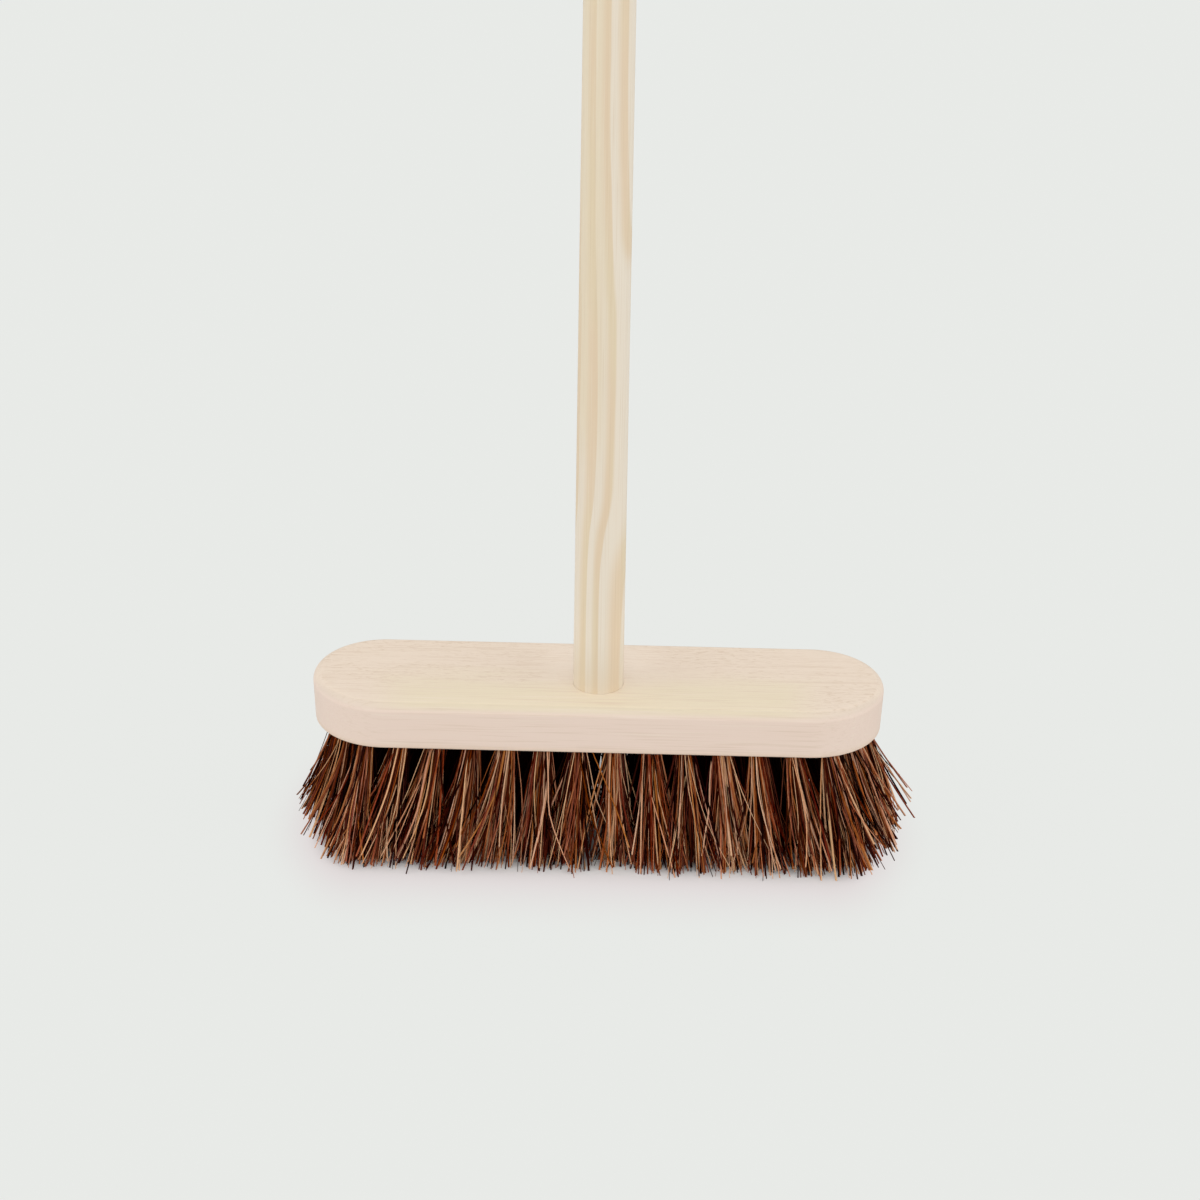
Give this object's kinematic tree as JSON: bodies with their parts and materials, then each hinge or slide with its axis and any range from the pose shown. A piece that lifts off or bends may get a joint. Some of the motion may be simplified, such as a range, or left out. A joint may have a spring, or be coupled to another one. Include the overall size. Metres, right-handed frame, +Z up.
{
  "type": "bassine broom",
  "caption": "Upright floor broom: pale wooden head with full-round ends, round pine handle and stiff dark brown palm-fibre tufts.",
  "frame": {"origin": "on the floor under the middle of the wooden head, at the level of the trimmed bristle tips", "axes": "+X along the head, +Y to the back, away from the side that the handle is nearer to, +Z up along the handle"},
  "size_m": [0.31, 0.0799, 1.2908],
  "materials": {
    "stock_wood": "matte",
    "handle_pine": "satin",
    "bassine_fibre": "matte"
  },
  "bodies": {
    "root": {"stock": "stock_wood", "handle": "handle_pine", "tuft_front_01": "bassine_fibre", "tuft_front_02": "bassine_fibre", "tuft_front_03": "bassine_fibre", "tuft_front_04": "bassine_fibre", "tuft_front_05": "bassine_fibre", "tuft_front_06": "bassine_fibre", "tuft_front_07": "bassine_fibre", "tuft_front_08": "bassine_fibre", "tuft_front_09": "bassine_fibre", "tuft_front_10": "bassine_fibre", "tuft_front_11": "bassine_fibre", "tuft_front_12": "bassine_fibre", "tuft_front_13": "bassine_fibre", "tuft_front_14": "bassine_fibre", "tuft_front_inner_01": "bassine_fibre", "tuft_front_inner_02": "bassine_fibre", "tuft_front_inner_03": "bassine_fibre", "tuft_front_inner_04": "bassine_fibre", "tuft_front_inner_05": "bassine_fibre", "tuft_front_inner_06": "bassine_fibre", "tuft_front_inner_10": "bassine_fibre", "tuft_front_inner_11": "bassine_fibre", "tuft_front_inner_12": "bassine_fibre", "tuft_front_inner_13": "bassine_fibre", "tuft_front_inner_14": "bassine_fibre", "tuft_front_inner_15": "bassine_fibre", "tuft_back_inner_01": "bassine_fibre", "tuft_back_inner_02": "bassine_fibre", "tuft_back_inner_03": "bassine_fibre", "tuft_back_inner_04": "bassine_fibre", "tuft_back_inner_05": "bassine_fibre", "tuft_back_inner_06": "bassine_fibre", "tuft_back_inner_07": "bassine_fibre", "tuft_back_inner_08": "bassine_fibre", "tuft_back_inner_09": "bassine_fibre", "tuft_back_inner_10": "bassine_fibre", "tuft_back_inner_11": "bassine_fibre", "tuft_back_inner_12": "bassine_fibre", "tuft_back_inner_13": "bassine_fibre", "tuft_back_inner_14": "bassine_fibre", "tuft_back_inner_15": "bassine_fibre", "tuft_back_inner_16": "bassine_fibre", "tuft_back_01": "bassine_fibre", "tuft_back_02": "bassine_fibre", "tuft_back_03": "bassine_fibre", "tuft_back_04": "bassine_fibre", "tuft_back_05": "bassine_fibre", "tuft_back_06": "bassine_fibre", "tuft_back_07": "bassine_fibre", "tuft_back_08": "bassine_fibre", "tuft_back_09": "bassine_fibre", "tuft_back_10": "bassine_fibre", "tuft_back_11": "bassine_fibre", "tuft_back_12": "bassine_fibre", "tuft_back_13": "bassine_fibre"}
  },
  "joints": []
}
